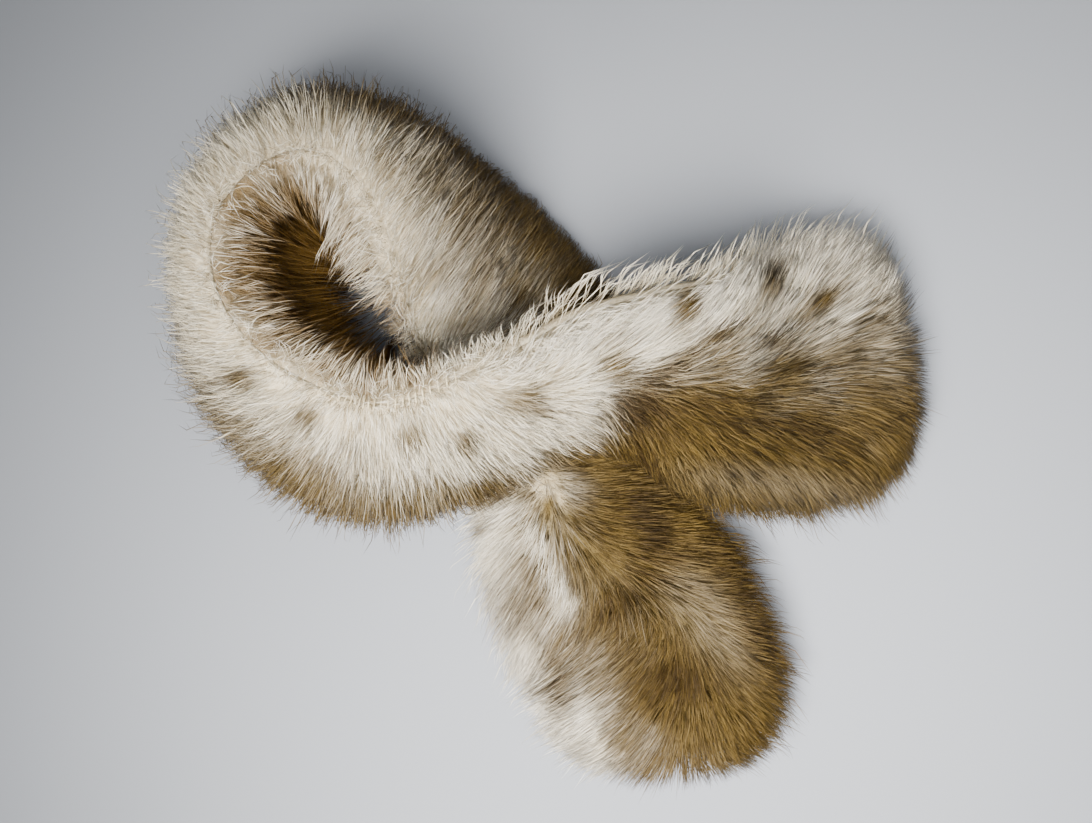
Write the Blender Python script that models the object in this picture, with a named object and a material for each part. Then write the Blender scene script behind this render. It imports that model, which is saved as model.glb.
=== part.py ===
"""A fur collar wrap lying on a flat surface, fur side out on both faces.

The wrap is one long flat tube of two fur strips sewn together along both long edges and round both ends.
One edge is white belly fur and the other is tan back fur. The middle of the wrap is a neck loop that stands
on its tan edge. One tail is laid over the other where the loop closes.

Lengths are in millimetres until put_object() turns them to metres. X runs to the right and Y away from
someone who looks down on the wrap, and Z is up. The pile is part of each solid, so a solid reaches as far
as the fur does.
"""

import bpy
import numpy as np

MM = 0.001

# Driving sizes
SEAM_GAP = 0.3
STRIP_HALF_WIDTH = 72.0
SQUASH = 7.0
STATION_STEP = 9.5
ARC_POINTS = 17
CORE_POINTS = 4
ROUNDNESS = 2.35
SMOOTH_UP_TO = 50.0

# How far the pile is parted at the two long seams, and how wide each parting is
PARTING_DEPTH = {"white": 9.0, "tan": 4.0}
PARTING_HALF_WIDTH = 5.0

# How the two tail ends round off: the length of the rounding across the strip and through it
END_ROUND_ACROSS = 62.0
END_ROUND_THROUGH = 34.0
END_SQUARENESS = 2.5
END_CLEARANCE = 0.6
END_CROWDING = 1.35

# One row for each section along the middle of the strip, from the end of the tail that lies on top.
# x, y: the middle of the section. lean: how steeply the strip stands, in degrees, 0 flat with its outer face
# up and 90 on its tan edge. width: its half width over the usual one. outer, inner: how deep each strip's
# leather and pile are. lift: how high the strip's underside is.
COLUMNS = ("x", "y", "lean", "width", "outer", "inner", "lift")
ROWS = (
    (185.0, 33.0, 6.0, 1.02, 25.0, 22.0, 0.0),
    (150.0, 26.0, 7.0, 1.04, 27.0, 22.0, 0.0),
    (120.0, 19.0, 12.0, 1.03, 28.0, 22.0, 4.0),
    (94.0, 16.0, 23.0, 0.99, 28.0, 22.0, 20.0),
    (71.0, 17.0, 36.0, 0.92, 27.0, 22.0, 35.0),
    (49.0, 19.5, 48.0, 0.85, 25.0, 22.0, 38.0),
    (25.0, 19.0, 57.0, 0.80, 24.0, 21.0, 38.0),
    (-2.0, 8.0, 64.0, 0.80, 23.0, 20.0, 38.0),
    (-28.0, -4.0, 68.0, 0.84, 24.0, 20.0, 36.0),
    (-53.0, -14.0, 70.0, 0.90, 25.0, 20.0, 25.0),
    (-80.0, -17.0, 70.0, 0.97, 25.0, 21.0, 3.0),
    (-107.0, -6.0, 72.0, 1.00, 25.0, 21.0, 0.0),
    (-131.0, 18.0, 79.0, 1.00, 25.0, 20.0, 0.0),
    (-143.0, 51.0, 86.0, 1.00, 25.0, 20.0, 0.0),
    (-142.0, 82.0, 86.0, 1.00, 25.0, 20.0, 0.0),
    (-127.0, 107.0, 82.0, 1.00, 25.0, 20.0, 0.0),
    (-101.0, 119.0, 79.0, 1.00, 25.0, 20.0, 0.0),
    (-75.0, 115.0, 74.0, 1.00, 25.0, 20.0, 0.0),
    (-54.0, 100.0, 68.0, 1.00, 25.0, 20.0, 0.0),
    (-38.0, 80.0, 57.0, 0.93, 24.0, 19.0, 0.0),
    (-25.0, 58.0, 40.0, 0.84, 22.0, 18.0, 0.0),
    (-12.0, 35.0, 21.0, 0.77, 20.0, 18.0, 0.0),
    (0.0, 11.0, 8.0, 0.73, 18.0, 18.0, 0.0),
    (9.0, -15.0, 2.0, 0.74, 18.0, 19.0, 0.0),
    (16.0, -40.0, 0.0, 0.80, 20.0, 20.0, 0.0),
    (25.0, -64.0, 0.0, 0.88, 26.0, 21.0, 0.0),
    (37.0, -89.0, 0.0, 0.96, 26.0, 21.0, 0.0),
    (50.5, -117.0, 0.0, 0.94, 29.0, 22.0, 0.0),
    (59.5, -150.0, 0.0, 0.91, 28.0, 22.0, 0.0),
    (62.5, -185.0, 0.0, 0.87, 25.0, 22.0, 0.0),
)

# Where the strip is pieced across its width, as the row before each joining seam
JOINS = {"over_tail": (0, 7), "neck_loop": (7, 23), "under_tail": (23, len(ROWS) - 1)}

# Soft valleys across the outer face: the row they cross, how deep and how long they are, and how far the
# white side of the valley lies behind its tan side
VALLEYS = (
    {"row": 26.1, "depth": 10.0, "length": 13.0, "slant": 14.0},
    {"row": 4.2, "depth": 4.0, "length": 16.0, "slant": -26.0},
)


def chord_lengths():
    """The distance along the rows, from one section's middle to the next, seen from above."""
    places = np.array([row[:2] for row in ROWS])
    steps = np.linalg.norm(np.diff(places, axis=0), axis=1)
    return np.concatenate([[0.0], np.cumsum(steps)])


def spline(along, knots, values):
    """A cubic through the rows, whose slope at each row is that of the line between its neighbours."""
    slopes = np.gradient(values, knots)
    k = np.clip(np.searchsorted(knots, along, side="right") - 1, 0, len(knots) - 2)
    span = knots[k + 1] - knots[k]
    t = (along - knots[k]) / span
    return (
        (2 * t**3 - 3 * t**2 + 1) * values[k]
        + (t**3 - 2 * t**2 + t) * span * slopes[k]
        + (3 * t**2 - 2 * t**3) * values[k + 1]
        + (t**3 - t**2) * span * slopes[k + 1]
    )


def row_values(along, name):
    """One column of the table, read at these distances along the strip."""
    column = np.array([row[COLUMNS.index(name)] for row in ROWS])
    return spline(along, KNOTS, column)


KNOTS = chord_lengths()
LENGTH = KNOTS[-1]

# Half the short step over which the strip's direction is read
HALF_STEP = 0.5


def rounding(distance, reach):
    """From 0 at a tail's end to 1 where its rounding is over, as a squarish quarter circle."""
    inner = np.clip(1 - distance / reach, 0, 1)
    return (1 - inner**END_SQUARENESS) ** (1 / END_SQUARENESS)


def frames(along):
    """The middle of each section, the way across the strip to its white edge, and the way out of its outer face."""
    x, y = row_values(along, "x"), row_values(along, "y")
    ahead = np.minimum(along + HALF_STEP, LENGTH)
    behind = np.maximum(along - HALF_STEP, 0)
    run = np.stack([row_values(ahead, n) - row_values(behind, n) for n in ("x", "y")], axis=1)
    run /= np.linalg.norm(run, axis=1, keepdims=True)
    lean = np.radians(row_values(along, "lean"))[:, None]
    side = np.column_stack([run[:, 1], -run[:, 0], np.zeros(len(along))])
    up = np.array([[0.0, 0.0, 1.0]])
    across = np.cos(lean) * side + np.sin(lean) * up
    outward = -np.sin(lean) * side + np.cos(lean) * up
    return np.column_stack([x, y, np.zeros(len(along))]), across, outward


def valley(along, across_share):
    """How far the outer face sinks at its valleys: a soft trough whose line slants across the strip."""
    sink = np.zeros(np.broadcast(along, across_share).shape)
    for fold in VALLEYS:
        at = np.interp(fold["row"], np.arange(len(ROWS)), KNOTS) + fold["slant"] * across_share
        sink += fold["depth"] * np.exp(-(((along - at) / fold["length"]) ** 2))
    return sink


def outline(along, depth, face, rounded=True):
    """The fur side of one strip as points (w, n): w across to the white edge, n out from the seam plane.

    It is half of a squarish ellipse, from the tan edge to the white edge. Both ends draw in towards the seam
    plane, which parts the pile there, and the outer face sinks at the valleys.
    """
    turn = np.linspace(0, np.pi, ARC_POINTS)[None, :]
    half = STRIP_HALF_WIDTH * row_values(along, "width")[:, None]
    depth = depth[:, None]
    if rounded:
        end = np.minimum(along, LENGTH - along)[:, None]
        half = half * rounding(end, END_ROUND_ACROSS)
        depth = depth * rounding(end, END_ROUND_THROUGH)
    w = -half * np.sign(np.cos(turn)) * np.abs(np.cos(turn)) ** (2 / ROUNDNESS)
    n = depth * np.abs(np.sin(turn)) ** (2 / ROUNDNESS)
    share = w / half
    if face == "outer":
        n = n * (1 - valley(along[:, None], share) / depth)
    near_seam = np.exp(-((n / PARTING_HALF_WIDTH) ** 2)) * np.abs(share) ** 4
    depth_of_parting = np.where(w > 0, PARTING_DEPTH["white"], PARTING_DEPTH["tan"])
    drawn_in = near_seam * depth_of_parting * np.minimum(half / STRIP_HALF_WIDTH, 1)
    return w - np.sign(w) * drawn_in, n


def ring_points(along, face, rounded=True):
    """The whole loop of points round one strip at each distance: its fur side, then its leather side."""
    depth = row_values(along, face)
    w, n = outline(along, depth, face, rounded)
    back = np.linspace(0, 1, CORE_POINTS + 2)[None, 1:-1]
    core_w = w[:, -1:] + (w[:, :1] - w[:, -1:]) * back
    w = np.concatenate([w, core_w], axis=1)
    n = np.concatenate([n, np.zeros(core_w.shape)], axis=1) + SEAM_GAP / 2
    return w, n if face == "outer" else -n


def lowest(along):
    """How far the inner strip's pile reaches below the section's middle, but for the rounding of the ends."""
    _, across, outward = frames(along)
    w, n = ring_points(along, "inner", rounded=False)
    return (w * across[:, 2:] + n * outward[:, 2:]).min(axis=1)


def placed(along, face):
    """The points round one strip in space, lying on what is under it, with its underside pressed flat."""
    middle, across, outward = frames(along)
    lift = row_values(along, "lift")
    w, n = ring_points(along, face)
    points = middle[:, None, :] + w[..., None] * across[:, None, :] + n[..., None] * outward[:, None, :]
    points[..., 2] += (np.maximum(lift, 0) - SQUASH - lowest(along))[:, None]
    points[..., 2] = np.maximum(points[..., 2], np.maximum(lift, 0)[:, None])
    return points


def stations(first_row, last_row):
    """Distances along the strip for one length of it, closer together where a tail's end rounds off."""
    start, end = KNOTS[first_row], KNOTS[last_row]
    start += END_CLEARANCE if first_row == 0 else SEAM_GAP / 2
    end -= END_CLEARANCE if last_row == len(ROWS) - 1 else SEAM_GAP / 2
    count = int(round((end - start) / STATION_STEP)) + 1
    share = np.linspace(0, 1, count)
    if first_row == 0:
        share = share**END_CROWDING
    if last_row == len(ROWS) - 1:
        share = 1 - (1 - share) ** END_CROWDING
    return start + (end - start) * share


def skin(points):
    """Faces that join each ring of points to the next, with a flat cap at both ends."""
    rings, around = points.shape[:2]
    faces = []
    for i in range(rings - 1):
        for j in range(around):
            a, b = i * around + j, i * around + (j + 1) % around
            faces.append((a, b, b + around, a + around))
    faces.append(tuple(range(around))[::-1])
    faces.append(tuple((rings - 1) * around + j for j in range(around)))
    return faces


def put_object(name, points, faces, material):
    """A closed mesh object in metres, its faces turned outwards and its fur side shaded smooth."""
    mesh = bpy.data.meshes.new(name)
    mesh.from_pydata((points.reshape(-1, 3) * MM).tolist(), [], faces)
    a, b, c = (points.reshape(-1, 3)[[f[k] for f in faces]] for k in (0, 1, 2))
    if np.einsum("ij,ij->i", a, np.cross(b, c)).sum() < 0:
        mesh.flip_normals()
    mesh.shade_smooth()
    mesh.set_sharp_from_angle(angle=np.radians(SMOOTH_UP_TO))
    mesh.materials.append(material)
    thing = bpy.data.objects.new(name, mesh)
    bpy.context.scene.collection.objects.link(thing)
    return thing


def fur(name, colour):
    """A soft matt pile."""
    material = bpy.data.materials.new(name)
    material.use_nodes = True
    shader = material.node_tree.nodes["Principled BSDF"]
    shader.inputs["Base Color"].default_value = (*colour, 1.0)
    shader.inputs["Roughness"].default_value = 0.85
    shader.inputs["Metallic"].default_value = 0.0
    shader.inputs["Sheen Weight"].default_value = 0.4
    return material


def main():
    for thing in list(bpy.data.objects):
        bpy.data.objects.remove(thing)
    furs = {
        "outer": fur("long_pile_outer", (0.55, 0.44, 0.29)),
        "inner": fur("long_pile_inner", (0.66, 0.58, 0.45)),
    }
    solids = {}
    for stretch, (first, last) in JOINS.items():
        for face in ("outer", "inner"):
            solids[f"{stretch}_{face}"] = placed(stations(first, last), face)
    every = np.concatenate([points.reshape(-1, 3) for points in solids.values()])
    centre = (every.min(axis=0) + every.max(axis=0)) / 2
    centre[2] = 0.0
    for name, points in solids.items():
        put_object(name, points - centre, skin(points), furs[name.rsplit("_", 1)[1]])


main()
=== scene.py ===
"""Looks of the fur collar wrap: the pelts and their underfur, the hair on them, and the seam along the crown.

Lengths are in millimetres from the point under the middle of the photo, until to_frame() turns them to metres
in the part's frame. A place on the strip has two numbers: how far along it lies, and w, how far across from the
middle towards the white edge. Its height n is measured out from the plane in which the two strips are sewn.
"""

import bpy
import mathutils
import numpy as np
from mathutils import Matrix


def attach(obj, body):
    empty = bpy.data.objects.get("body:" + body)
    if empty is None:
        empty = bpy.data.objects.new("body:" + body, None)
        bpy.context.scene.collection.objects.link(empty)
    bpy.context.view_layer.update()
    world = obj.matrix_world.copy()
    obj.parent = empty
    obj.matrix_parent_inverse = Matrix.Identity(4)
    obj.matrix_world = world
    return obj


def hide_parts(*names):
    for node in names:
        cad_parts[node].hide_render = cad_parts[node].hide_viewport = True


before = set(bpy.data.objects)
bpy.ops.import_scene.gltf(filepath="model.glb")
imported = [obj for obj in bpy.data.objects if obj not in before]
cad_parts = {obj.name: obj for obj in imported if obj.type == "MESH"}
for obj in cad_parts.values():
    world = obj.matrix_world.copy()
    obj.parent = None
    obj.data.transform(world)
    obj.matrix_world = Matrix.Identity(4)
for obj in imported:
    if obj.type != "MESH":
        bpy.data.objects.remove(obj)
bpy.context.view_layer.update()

MM = 0.001

# Where the photo's middle falls in the part's frame, and how the photo was taken
PHOTO_MIDDLE = (-8.87, 18.15)
CAMERA_HEIGHT = 650.0
FIELD_WIDTH = 546.0
PHOTO_PIXELS = (1092, 823)

# The same sections as the solids have
SEAM_GAP = 0.3
STRIP_HALF_WIDTH = 72.0
SQUASH = 7.0
ROUNDNESS = 2.35
PARTING_DEPTH = {"white": 9.0, "tan": 4.0}
PARTING_HALF_WIDTH = 5.0
END_ROUND_ACROSS = 62.0
END_SQUARENESS = 2.5
COLUMNS = ("x", "y", "lean", "width", "outer", "inner", "lift")
ROWS = np.array((
    (185.0, 33.0, 6.0, 1.02, 25.0, 22.0, 0.0),
    (150.0, 26.0, 7.0, 1.04, 27.0, 22.0, 0.0),
    (120.0, 19.0, 12.0, 1.03, 28.0, 22.0, 4.0),
    (94.0, 16.0, 23.0, 0.99, 28.0, 22.0, 20.0),
    (71.0, 17.0, 36.0, 0.92, 27.0, 22.0, 35.0),
    (49.0, 19.5, 48.0, 0.85, 25.0, 22.0, 38.0),
    (25.0, 19.0, 57.0, 0.80, 24.0, 21.0, 38.0),
    (-2.0, 8.0, 64.0, 0.80, 23.0, 20.0, 38.0),
    (-28.0, -4.0, 68.0, 0.84, 24.0, 20.0, 36.0),
    (-53.0, -14.0, 70.0, 0.90, 25.0, 20.0, 25.0),
    (-80.0, -17.0, 70.0, 0.97, 25.0, 21.0, 3.0),
    (-107.0, -6.0, 72.0, 1.00, 25.0, 21.0, 0.0),
    (-131.0, 18.0, 79.0, 1.00, 25.0, 20.0, 0.0),
    (-143.0, 51.0, 86.0, 1.00, 25.0, 20.0, 0.0),
    (-142.0, 82.0, 86.0, 1.00, 25.0, 20.0, 0.0),
    (-127.0, 107.0, 82.0, 1.00, 25.0, 20.0, 0.0),
    (-101.0, 119.0, 79.0, 1.00, 25.0, 20.0, 0.0),
    (-75.0, 115.0, 74.0, 1.00, 25.0, 20.0, 0.0),
    (-54.0, 100.0, 68.0, 1.00, 25.0, 20.0, 0.0),
    (-38.0, 80.0, 57.0, 0.93, 24.0, 19.0, 0.0),
    (-25.0, 58.0, 40.0, 0.84, 22.0, 18.0, 0.0),
    (-12.0, 35.0, 21.0, 0.77, 20.0, 18.0, 0.0),
    (0.0, 11.0, 8.0, 0.73, 18.0, 18.0, 0.0),
    (9.0, -15.0, 2.0, 0.74, 18.0, 19.0, 0.0),
    (16.0, -40.0, 0.0, 0.80, 20.0, 20.0, 0.0),
    (25.0, -64.0, 0.0, 0.88, 26.0, 21.0, 0.0),
    (37.0, -89.0, 0.0, 0.96, 26.0, 21.0, 0.0),
    (50.5, -117.0, 0.0, 0.94, 29.0, 22.0, 0.0),
    (59.5, -150.0, 0.0, 0.91, 28.0, 22.0, 0.0),
    (62.5, -185.0, 0.0, 0.87, 25.0, 22.0, 0.0),
))
VALLEYS = (
    {"row": 26.1, "depth": 10.0, "length": 13.0, "slant": 14.0},
    {"row": 4.2, "depth": 4.0, "length": 16.0, "slant": -26.0},
)

# The stretches of each strip, by the rows where they are pieced
STRETCHES = {"over_tail": (0, 7), "neck_loop": (7, 23), "under_tail": (23, 29)}

# How far short of the pile's edge each pelt ends, by row: hair reaches on past it to the edge
MARGINS = {
    "row": (0, 6, 8, 20, 23, 24.5, 26, 28, 29),
    "white": (20, 18, 11, 11, 16, 18, 22, 24, 22),
    "tan": (20, 20, 20, 20, 22, 24, 20, 20, 20),
}
END_MARGIN = 20.0

# How the hair is combed, by row. divide: the share of the half width at which it parts. along: how far a tip
# lies along the strip from its root. to_white, to_tan: how far it lies across, on either side of the divide.
COMB = {
    "outer": {
        "row": (0, 1.5, 3, 4.6, 5.5, 6.7, 7.6, 8.4, 9, 10, 11, 12.5, 15, 18, 20, 21.5, 22.5, 23.5, 24.4,
                25.2, 25.8, 26.3, 27.2, 28.2, 29),
        "divide": (0.1, 0.15, 0.15, 0.18, 0.3, 0.55, 0.9, 1.3, 1.4, 1.4, 1.4, 1.4, 1.4, 1.4, 1.4, 1, 0.6, 0.28, 0.24,
                   0.1, -0.1, -0.4, -0.46, -0.3, -0.1),
        "soft": (0.6, 0.6, 0.55, 0.45, 0.4, 0.3, 0.18, 0.14, 0.14, 0.14, 0.14, 0.14, 0.14, 0.14, 0.14, 0.14,
                 0.14, 0.2, 0.25, 0.25, 0.25, 0.3, 0.3, 0.45, 0.5),
        "fan": (1, 1, 1, 0.8, 0.5, 0.2, 0, 0, 0, 0, 0, 0, 0, 0, 0, 0, 0, 0, 0, 0, 0, 0.1, 0.3, 0.4, 0.4),
        "along": (-20, -19, -19, -17, -15, -11, -7, -4, -1, 3, 7, 6, 0, -4, -8, -8, -6, 2, 8, 12, 13, 5, 8, 16, 20),
        "to_white": (11, 11, 13, 16, 16, 14, 12, 8, 6, 6, 6, 6, 6, 6, 8, 10, 14, 20, 19, 17, 15, 16, 14, 10, 8),
        "to_tan": (11, 11, 12, 12, 13, 14, 17, 19, 21, 21, 20, 19, 20, 20, 19, 18, 17, 17, 16, 14, 13, 16, 16, 12, 8),
    },
    "inner": {
        "row": (0, 4, 6.5, 8, 20, 21.5, 23, 26, 29),
        "divide": (0, 0.1, 0.8, 1.4, 1.4, 1, 0.3, 0, 0),
        "soft": (0.5, 0.4, 0.14, 0.14, 0.14, 0.14, 0.2, 0.4, 0.5),
        "fan": (1, 0.8, 0, 0, 0, 0, 0, 0.2, 0.4),
        "along": (-18, -16, -10, -4, -2, 2, 8, 14, 18),
        "to_white": (14, 16, 14, 6, 6, 10, 14, 14, 12),
        "to_tan": (12, 14, 16, 19, 19, 17, 14, 14, 12),
    },
}

# How many times deeper than the solid's pile the hair grows, by row: at the foot, where it splays over what
# the loop stands on, and towards the crown
SWELL = {
    "outer": {
        "row": (0, 7, 9, 10, 12, 14, 15, 16, 17, 18, 20, 22, 29),
        "foot": (1, 1, 1.1, 1.35, 1.3, 1.1, 1.15, 1.2, 0.9, 0.6, 0.65, 1, 1),
        "crown": (1, 1, 1.02, 0.95, 0.74, 0.8, 1.0, 1.1, 1.05, 1, 1, 1, 1),
    },
    "inner": {
        "row": (0, 7, 8, 9, 10, 11, 12.5, 14.5, 16, 17, 18, 19, 20, 21, 22, 29),
        "foot": (1, 1, 1.3, 2.4, 3.1, 3.1, 2.8, 2.8, 3.0, 3.2, 3.5, 3.5, 3.4, 2.3, 1, 1),
        "crown": (1, 1, 1.15, 1.4, 1.5, 1.5, 1.45, 1.4, 1.6, 2.1, 2.4, 2.3, 2.1, 1.8, 1.1, 1),
    },
}

# How far the loop's crown leans in over its hollow, by row
LEAN_IN = {"row": (9, 11, 12.5, 14.5, 16.5), "shift": (0, 3.0, 6.5, 6.0, 0)}

# How far out the hair's tips may reach, by row, where 1 is the solid's outline
REACH = {
    "row": (0, 1.5, 4, 6, 8, 15, 21, 23.5, 25, 26.5, 28, 29),
    "white": (0.97, 0.82, 0.84, 0.92, 1, 1, 1, 0.99, 0.96, 0.93, 0.93, 0.98),
    "tan": (0.98, 0.99, 1.0, 0.98, 1, 0.94, 0.9, 0.83, 0.76, 0.88, 0.98, 0.98),
}

# Where white belly fur gives way to tan back fur, by row, as a share of the half width, and where inside the
# loop a band of dark tips lies
WHITE_LINE = {
    "outer": {
        "row": (0, 1.7, 3.2, 4, 4.5, 4.9, 5.8, 6.5, 7.5, 8.6, 9.6, 10.4, 11, 12, 14.2, 15, 16, 17, 18, 19, 20,
                21, 23.5, 25, 26.2, 27, 28, 29),
        "share": (0.36, 0.32, 0.38, 0.48, 0.38, 0.22, -0.2, -0.28, -0.25, 0.08, 0.26, 0.37, 0.38, 0.1, -0.15,
                  0.25, 0.5, 0.5, 0.46, 0.34, 0.24, 0.3, 0.55, 0.64, 0.7, 0.72, 0.66, 0.56),
        "soft": (0.2, 0.18, 0.12, 0.09, 0.08, 0.07, 0.07, 0.08, 0.1, 0.13, 0.16, 0.16, 0.16, 0.14, 0.12, 0.12,
                 0.12, 0.16, 0.24, 0.3, 0.3, 0.2, 0.17, 0.2, 0.22, 0.22, 0.2, 0.2),
    },
    "inner": {
        "row": (0, 4, 7, 9, 12, 14, 15, 16, 17, 18, 20, 23, 29),
        "share": (0.3, 0.2, 0.45, 0.68, 0.73, 0.76, 0.72, 0.62, 0.55, 0.5, 0.55, 0.3, 0.3),
        "soft": (0.1, 0.1, 0.1, 0.09, 0.08, 0.08, 0.08, 0.09, 0.09, 0.1, 0.1, 0.1, 0.1),
    },
}
DARK_BAND = {"row": (8, 10, 12, 14, 16, 18, 20), "share": (0.4, 0.5, 0.42, 0.42, 0.34, 0.25, 0.15)}

# Spots and patches, where they show in the photo: x, y: the middle in its pixels. long, wide: the half sizes in
# pixels. turn: degrees up from the photo's x axis. tan: how tan the hair is there, or less than 0 where it is
# whiter. dark: what share of the hairs have dark tips. Some of these are real dark-tipped hair, and some are
# painted shade in folds, in creases and on sides turned away from the light.
PATCHES = {
    "outer": (
        (235, 380, 20, 12, -15, 0.95, 0.3),
        (305, 420, 14, 12, 0, 0.9, 0.25),
        (412, 440, 18, 12, 40, 0.9, 0.25),
        (470, 446, 14, 10, 40, 0.95, 0.5),
        (528, 402, 24, 15, 30, 0.8, 0.15),
        (548, 412, 12, 7, 0, 0.8, 0.15),
        (626, 360, 30, 15, 85, 1.0, 0.0),
        (692, 304, 26, 16, 105, 1.0, -0.1),
        (732, 325, 17, 8, 20, 0.9, 0.5),
        (776, 275, 20, 14, 70, 0.95, -0.2),
        (832, 295, 23, 13, 40, 1.0, 0.15),
        (785, 335, 20, 9, 10, 0.9, 0.5),
        (893, 243, 16, 9, 100, 0.7, 0.4),
        (440, 272, 18, 13, 20, 0.6, 0.0),
        (462, 322, 26, 16, -20, 0.6, 0.05),
        (299, 118, 28, 10, 8, 0.5, 0.1),
        (388, 158, 18, 11, -40, 0.5, 0.1),
        # This patch darkens the loop's right outer wall, which faces away from the light: painted shade along with its
        # dark tips
        (500, 180, 115, 14, -48, 0.8, 0.2),
        (462, 212, 85, 32, -50, 0.4, 0.25),
        (478, 285, 40, 26, -30, 0.35, 0.15),
        (387, 98, 66, 15, -15, 1.0, 0.2),
        # The next three darken the fold where the over tail's white and tan meet: painted shade
        (640, 404, 24, 44, -45, 0.85, 0.7),
        (688, 358, 44, 13, 38, 0.8, 0.4),
        (665, 430, 30, 30, 0, 0.5, 0.4),
        (745, 418, 70, 15, -6, 0.3, 0.4),
        (790, 362, 26, 14, 10, 0.8, 0.25),
        (835, 440, 55, 16, -10, 0.0, 0.3),
        (908, 300, 12, 44, -15, 0.35, 0.3),
        (780, 490, 95, 18, -4, -0.1, 0.0),
        (559, 490, 30, 19, 0, -0.5, 0.0),
        (541, 560, 50, 11, -63, -0.85, 0.0),
        (490, 545, 16, 26, 0, -0.6, 0.0),
        (512, 622, 55, 28, -60, 0.42, 0.15),
        (556, 684, 18, 36, 20, 0.6, 0.3),
        (562, 607, 18, 10, -60, -0.95, 0.0),
        (518, 655, 16, 18, 0, -0.35, 0.0),
        (582, 728, 42, 11, -72, -0.75, 0.0),
        (552, 694, 12, 18, 0, 0.5, 0.3),
        (473, 532, 9, 10, 0, 0.8, 0.3),
        (549, 507, 12, 8, 80, 0.95, 0.5),
        (522, 576, 18, 7, -70, 0.7, 0.15),
        (512, 612, 14, 9, -40, 0.6, 0.2),
        (669, 688, 56, 36, -20, 1.0, 0.5),
        (708, 620, 66, 32, -55, -0.16, 0.0),
        (661, 552, 40, 15, 82, 0.9, 0.6),
        (654, 500, 52, 22, -65, 0.6, 0.6),
        (741, 577, 56, 16, -66, 0.3, 0.5),
        (480, 500, 40, 13, 10, 0.7, 0.3),
        (530, 590, 30, 7, -75, 0.6, 0.3),
        (622, 738, 44, 14, -75, 0.45, 0.1),
        (575, 650, 40, 16, -60, 0.6, 0.2),
        (650, 610, 130, 60, -60, 0.38, 0.14),
        (773, 650, 52, 14, -76, 0.3, 0.45),
        # This patch darkens the crease under the upper puff: painted shade
        (616, 614, 48, 9, 28, 0.4, 0.6),
        (650, 752, 66, 18, -6, 0.35, 0.12),
    ),
    "inner": (
        (237, 214, 14, 14, 0, 0.7, 0.1),
        (247, 187, 18, 9, 10, 0.6, 0.1),
        (304, 207, 18, 10, -20, 0.7, 0.1),
        (340, 222, 16, 10, -30, 0.35, 0.0),
        (226, 278, 12, 20, 0, 0.6, 0.15),
        # This patch makes the hair at the hollow's lower right tan and takes dark tips away: a painted warm tint for
        # the shade there
        (372, 326, 32, 28, 0, 0.6, -0.5),
    ),
}


# The strip's sections


def spline(along, knots, values):
    """A cubic through the rows, whose slope at each row is that of the line between its neighbours."""
    slopes = np.gradient(values, knots)
    k = np.clip(np.searchsorted(knots, along, side="right") - 1, 0, len(knots) - 2)
    span = knots[k + 1] - knots[k]
    t = (along - knots[k]) / span
    return (
        (2 * t**3 - 3 * t**2 + 1) * values[k]
        + (t**3 - 2 * t**2 + t) * span * slopes[k]
        + (3 * t**2 - 2 * t**3) * values[k + 1]
        + (t**3 - t**2) * span * slopes[k + 1]
    )


KNOTS = np.concatenate([[0.0], np.cumsum(np.linalg.norm(np.diff(ROWS[:, :2], axis=0), axis=1))])
LENGTH = KNOTS[-1]
GRID = np.linspace(0.0, LENGTH, 1700)


def row_to_along(rows):
    """The distance along the strip of a row, or of a place between two rows."""
    return np.interp(rows, np.arange(len(KNOTS)), KNOTS)


def by_row(table, column, along):
    """A column of one of the tables by row, read along the strip."""
    return np.interp(along, row_to_along(np.array(table["row"], float)), table[column])


def rounding(distance, reach):
    """From 0 at a tail's end to 1 where its rounding is over, as a squarish quarter circle."""
    inner = np.clip(1 - distance / reach, 0, 1)
    return (1 - inner**END_SQUARENESS) ** (1 / END_SQUARENESS)


def ring(half, depth, turn):
    """Half a squarish ellipse as (w, n), from the tan edge at turn 0 to the white edge at half a turn."""
    w = -half * np.sign(np.cos(turn)) * np.abs(np.cos(turn)) ** (2 / ROUNDNESS)
    n = depth * np.abs(np.sin(turn)) ** (2 / ROUNDNESS)
    return w, n


def even_turns():
    """Turns that space a ring's points evenly round it, for shares of the way round from 0 to 1."""
    turn = np.linspace(0, np.pi, 721)
    w, n = ring(STRIP_HALF_WIDTH, 25.0, turn)
    way = np.concatenate([[0.0], np.cumsum(np.hypot(np.diff(w), np.diff(n)))])
    return way / way[-1], turn, way[-1]


AROUND_SHARE, AROUND_TURN, AROUND_LENGTH = even_turns()


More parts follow.
